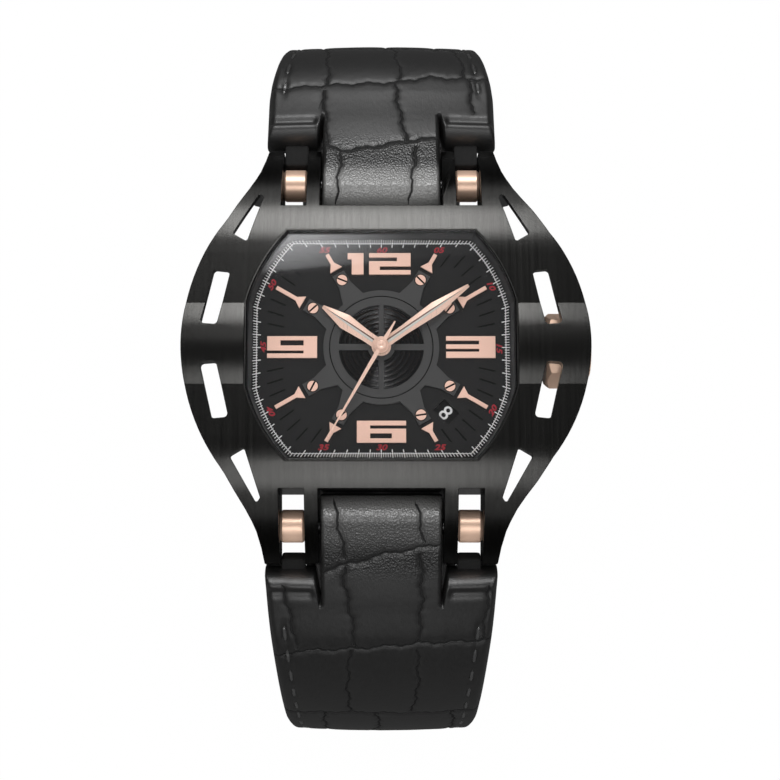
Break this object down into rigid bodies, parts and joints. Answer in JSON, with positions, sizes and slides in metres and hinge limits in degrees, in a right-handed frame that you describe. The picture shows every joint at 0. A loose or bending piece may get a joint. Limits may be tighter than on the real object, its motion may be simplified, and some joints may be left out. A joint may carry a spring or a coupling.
{
  "type": "skeleton wristwatch",
  "caption": "Openwork tonneau wristwatch with rose-gold hands and numerals, automatic movement, lug bars with sleeves and an open leather strap with pin buckle.",
  "frame": {"origin": "on the hand axis, in the flat outer face of the case back", "axes": "+Z out of the dial, +Y towards 12 o'clock, +X towards the crown at 3 o'clock"},
  "size_m": [0.0487, 0.0941, 0.0748],
  "materials": {
    "case_metal": "black coated steel, brushed lengthwise",
    "polished_edge": "polished edge round the dial opening",
    "glass": "clear sapphire glass",
    "black_seal": "black seal",
    "black_flange": "matt black inner flange",
    "dial_black": "satin black dial",
    "dial_grey": "dark grey satin bridge",
    "rose_gold": "rose gold plated, satin and polished",
    "steel": "nickel plated and brushed",
    "movement_brass": "gilt brass",
    "blued_steel": "blued spring steel",
    "ruby": "polished synthetic ruby",
    "holder_plastic": "moulded ring",
    "date_white": "matt black date disc with white numbers",
    "leather": "embossed calf leather, satin"
  },
  "bodies": {
    "watch_case": {"case_frame": "case_metal", "case_container": "case_metal", "bezel_ring": "polished_edge", "crystal": "glass", "crystal_gasket": "black_seal", "inner_flange": "black_flange", "dial_plate": "dial_black", "dial_rings": "dial_black", "dial_bridge": "dial_grey", "dial_screws": "rose_gold", "applied_numerals": "rose_gold", "hour_markers": "rose_gold", "case_back": "case_metal", "back_glass": "glass", "back_gasket": "black_seal", "back_screws": "steel", "lug_bars": "steel", "lug_sleeves": "rose_gold", "lug_screws": "case_metal", "crown_tube": "steel", "movement_holder": "holder_plastic", "mainplate": "steel", "train_bridge": "steel", "barrel_bridge": "steel", "balance_cock": "steel", "automatic_bridge": "steel", "movement_screws": "steel", "bearing_jewels": "ruby", "casing_clamps": "steel", "hairspring": "blued_steel"},
    "winding_core": {"winding_pinion": "steel"},
    "crown_and_stem": {"crown": "rose_gold", "winding_stem": "steel", "crown_gasket": "black_seal"},
    "sliding_pinion": {"sliding_pinion": "steel"},
    "setting_lever": {"setting_lever": "steel"},
    "crown_wheel": {"crown_wheel": "steel"},
    "ratchet_wheel": {"ratchet_wheel": "steel"},
    "barrel": {"mainspring_barrel": "movement_brass"},
    "minute_train": {"centre_wheel": "movement_brass", "cannon_pinion": "steel", "minute_hand": "rose_gold"},
    "third_wheel": {"third_wheel": "movement_brass"},
    "seconds_train": {"fourth_wheel": "movement_brass", "seconds_hand": "rose_gold"},
    "escape_wheel": {"escape_wheel": "steel"},
    "pallet_fork": {"pallet_fork": "steel"},
    "balance": {"balance_wheel": "movement_brass"},
    "minute_wheel": {"minute_wheel": "movement_brass"},
    "hour_train": {"hour_wheel": "movement_brass", "hour_hand": "rose_gold"},
    "setting_wheel": {"setting_wheel": "steel"},
    "date_disc": {"date_disc": "date_white"},
    "rotor": {"oscillating_weight": "steel"},
    "short_strap": {"strap_short": "leather", "fixed_keeper": "leather"},
    "free_keeper": {"free_keeper": "leather"},
    "buckle": {"buckle_frame": "case_metal"},
    "buckle_tongue": {"buckle_tongue": "case_metal"},
    "long_strap": {"strap_long": "leather"}
  },
  "joints": [
    {"name": "crown_turn", "type": "hinge", "parent": "watch_case", "child": "winding_core", "pos_m": [0.01, 0, 0.0075], "axis": [1, 0, 0], "continuous": true},
    {"name": "crown_pull", "type": "slide", "parent": "winding_core", "child": "crown_and_stem", "axis": [1, 0, 0], "range_m": [0, 0.0014]},
    {"name": "sliding_pinion_shift", "type": "slide", "parent": "winding_core", "child": "sliding_pinion", "axis": [-1, 0, 0], "range_m": [0, 0.00056]},
    {"name": "setting_lever_swing", "type": "hinge", "parent": "watch_case", "child": "setting_lever", "pos_m": [0.0112, -0.0027, 0.0084], "axis": [0, 0, -1], "range_deg": [0, 31.3]},
    {"name": "crown_wheel_turn", "type": "hinge", "parent": "watch_case", "child": "crown_wheel", "pos_m": [0.0076, 0, 0.0055], "axis": [0, 0, -1], "continuous": true},
    {"name": "ratchet_turn", "type": "hinge", "parent": "watch_case", "child": "ratchet_wheel", "pos_m": [0.00347, 0.00414, 0.005], "axis": [0, 0, -1], "continuous": true},
    {"name": "minute_turn", "type": "hinge", "parent": "watch_case", "child": "minute_train", "pos_m": [0, 0, 0.01], "axis": [0, 0, -1], "continuous": true},
    {"name": "barrel_turn", "type": "hinge", "parent": "watch_case", "child": "barrel", "pos_m": [0.00347, 0.00414, 0.007], "axis": [0, 0, -1], "continuous": true},
    {"name": "third_wheel_turn", "type": "hinge", "parent": "watch_case", "child": "third_wheel", "pos_m": [-0.0031, 0.0026, 0.006], "axis": [0, 0, -1], "continuous": true},
    {"name": "seconds_turn", "type": "hinge", "parent": "watch_case", "child": "seconds_train", "pos_m": [0, 0, 0.01], "axis": [0, 0, -1], "continuous": true},
    {"name": "hour_turn", "type": "hinge", "parent": "watch_case", "child": "hour_train", "pos_m": [0, 0, 0.01], "axis": [0, 0, -1], "continuous": true},
    {"name": "minute_wheel_turn", "type": "hinge", "parent": "watch_case", "child": "minute_wheel", "pos_m": [0.00226, -0.00082, 0.0085], "axis": [0, 0, -1], "continuous": true},
    {"name": "setting_wheel_turn", "type": "hinge", "parent": "watch_case", "child": "setting_wheel", "pos_m": [0.00546, -0.00005, 0.0085], "axis": [0, 0, -1], "continuous": true},
    {"name": "escape_turn", "type": "hinge", "parent": "watch_case", "child": "escape_wheel", "pos_m": [-0.00125, -0.00342, 0.006], "axis": [0, 0, -1], "continuous": true},
    {"name": "pallet_swing", "type": "hinge", "parent": "watch_case", "child": "pallet_fork", "pos_m": [-0.00176, -0.00633, 0.006], "axis": [0, 0, -1], "range_deg": [-5, 5]},
    {"name": "balance_swing", "type": "hinge", "parent": "watch_case", "child": "balance", "pos_m": [-0.0021, -0.00875, 0.0052], "axis": [0, 0, -1], "range_deg": [-270, 270]},
    {"name": "date_turn", "type": "hinge", "parent": "watch_case", "child": "date_disc", "pos_m": [0, 0, 0.009], "axis": [0, 0, -1], "continuous": true},
    {"name": "rotor_turn", "type": "hinge", "parent": "watch_case", "child": "rotor", "pos_m": [0, 0, 0.0034], "axis": [0, 0, -1], "continuous": true},
    {"name": "short_strap_hinge", "type": "hinge", "parent": "watch_case", "child": "short_strap", "pos_m": [0, 0.02105, 0.006], "axis": [1, 0, 0], "range_deg": [-3, 45]},
    {"name": "long_strap_hinge", "type": "hinge", "parent": "watch_case", "child": "long_strap", "pos_m": [0, -0.02105, 0.006], "axis": [-1, 0, 0], "range_deg": [-3, 45]},
    {"name": "free_keeper_slide", "type": "slide", "parent": "short_strap", "child": "free_keeper", "axis": [0, 0, -1], "range_m": [-0.008, 0.008]},
    {"name": "buckle_hinge", "type": "hinge", "parent": "short_strap", "child": "buckle", "pos_m": [0, 0.02687, -0.05885], "axis": [1, 0, 0], "range_deg": [-15, 40]},
    {"name": "tongue_hinge", "type": "hinge", "parent": "buckle", "child": "buckle_tongue", "pos_m": [0, 0.02687, -0.05885], "axis": [1, 0, 0], "range_deg": [0, 80]}
  ],
  "couplings": [
    {"joint": "sliding_pinion_shift", "follows": "crown_pull", "ratio": 0.4},
    {"joint": "setting_lever_swing", "follows": "crown_pull", "rad_per_m": 389.3},
    {"joint": "crown_wheel_turn", "follows": "crown_turn", "ratio": -0.33333},
    {"joint": "ratchet_turn", "follows": "crown_turn", "ratio": 0.2},
    {"joint": "minute_turn", "follows": "seconds_turn", "ratio": 0.016667},
    {"joint": "barrel_turn", "follows": "seconds_turn", "ratio": -0.0020833},
    {"joint": "third_wheel_turn", "follows": "seconds_turn", "ratio": -0.13333},
    {"joint": "hour_turn", "follows": "seconds_turn", "ratio": 0.0013889},
    {"joint": "minute_wheel_turn", "follows": "seconds_turn", "ratio": -0.0055556},
    {"joint": "setting_wheel_turn", "follows": "seconds_turn", "ratio": 0.0066667}
  ]
}
